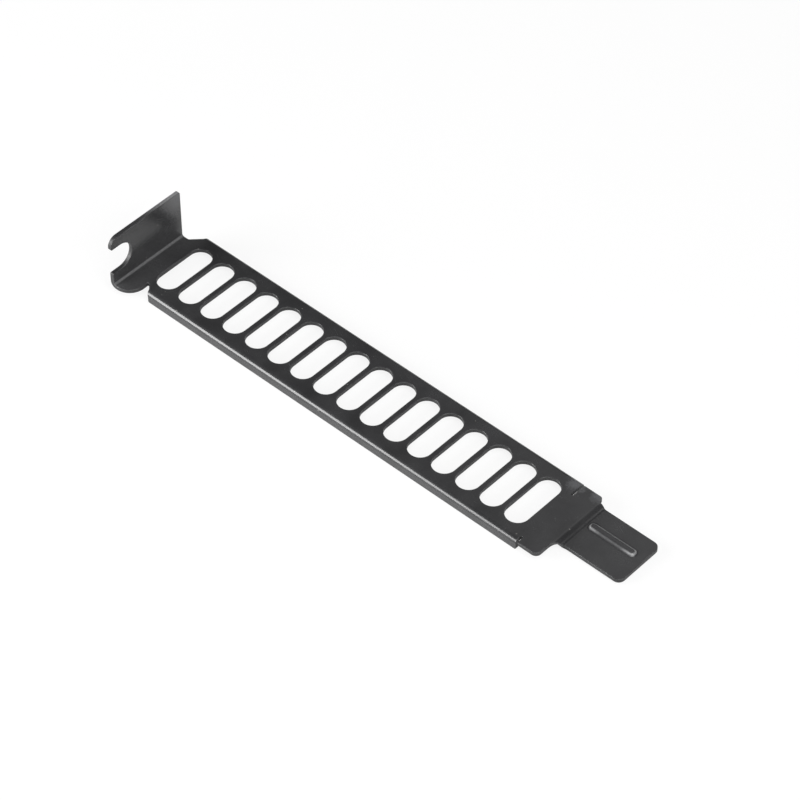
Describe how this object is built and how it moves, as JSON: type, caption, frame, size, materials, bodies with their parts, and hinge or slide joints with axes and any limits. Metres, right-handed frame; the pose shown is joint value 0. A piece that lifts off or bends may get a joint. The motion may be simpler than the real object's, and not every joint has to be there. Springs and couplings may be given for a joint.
{
  "type": "expansion slot cover bracket",
  "caption": "Folded sheet-steel cover for an unused expansion slot, with a notched screw tab, vent slots across its face, side flanges and a set-back tongue.",
  "frame": {"origin": "on the side of the tab that seats on the case, on the centre line of the face, level with the middle of the screw notch", "axes": "+X along the cover from the tab's seat to the end of the tongue, +Y across it away from the notch's open end, +Z out of the face's outer surface, the way the tab stands"},
  "size_m": [0.12, 0.0217, 0.0138],
  "materials": {
    "black_coat": "satin black coat over steel sheet"
  },
  "bodies": {
    "root": {"slot_cover": "black_coat"}
  },
  "joints": []
}
